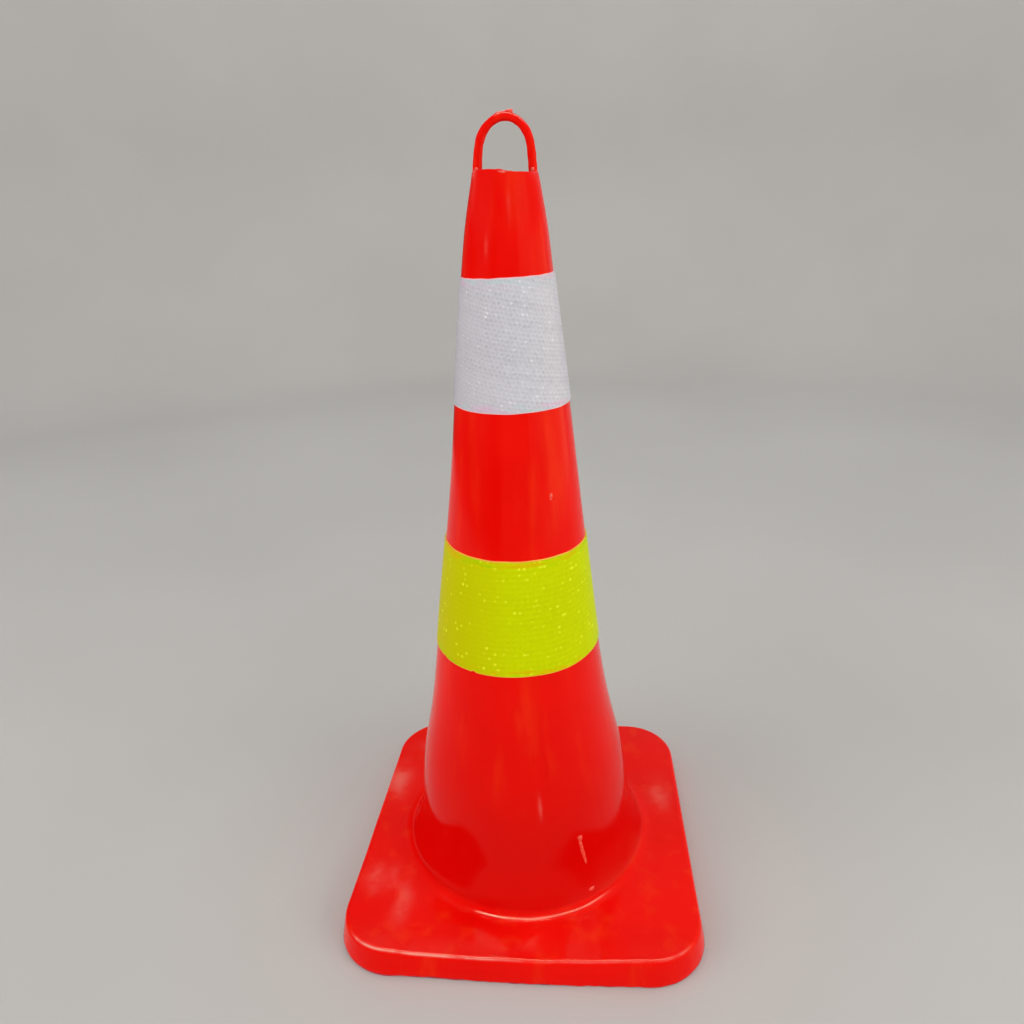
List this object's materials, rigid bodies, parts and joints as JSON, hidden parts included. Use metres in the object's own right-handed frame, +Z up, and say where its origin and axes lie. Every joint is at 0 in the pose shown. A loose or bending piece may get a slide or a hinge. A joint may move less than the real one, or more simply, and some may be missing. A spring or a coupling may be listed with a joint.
{
  "type": "traffic cone",
  "caption": "Hollow flexible traffic cone with a square ballasted base, a white and a lime reflective collar, and a U-shaped carrying loop on the open rim.",
  "frame": {"origin": "centre of the base's underside, on the ground", "axes": "+Z up the cone's axis; the sides of the base lie along X and Y; the carrying loop stands in the XZ plane"},
  "size_m": [0.336, 0.336, 0.7015],
  "materials": {
    "red_orange_pvc": "glossy soft PVC, moulded",
    "recycled_pvc": "dull dark recycled PVC",
    "white_carrier_film": "smooth white PVC film",
    "white_prismatic_film": "glossy film over honeycomb prism cells",
    "lime_carrier_film": "smooth lime-yellow PVC film",
    "lime_prismatic_film": "glossy film over square prism cells"
  },
  "bodies": {
    "root": {"cone_body": "red_orange_pvc", "carry_loop": "red_orange_pvc", "base_ballast": "recycled_pvc", "white_collar_carrier": "white_carrier_film", "white_collar_lens": "white_prismatic_film", "lime_collar_carrier": "lime_carrier_film", "lime_collar_lens": "lime_prismatic_film"}
  },
  "joints": []
}
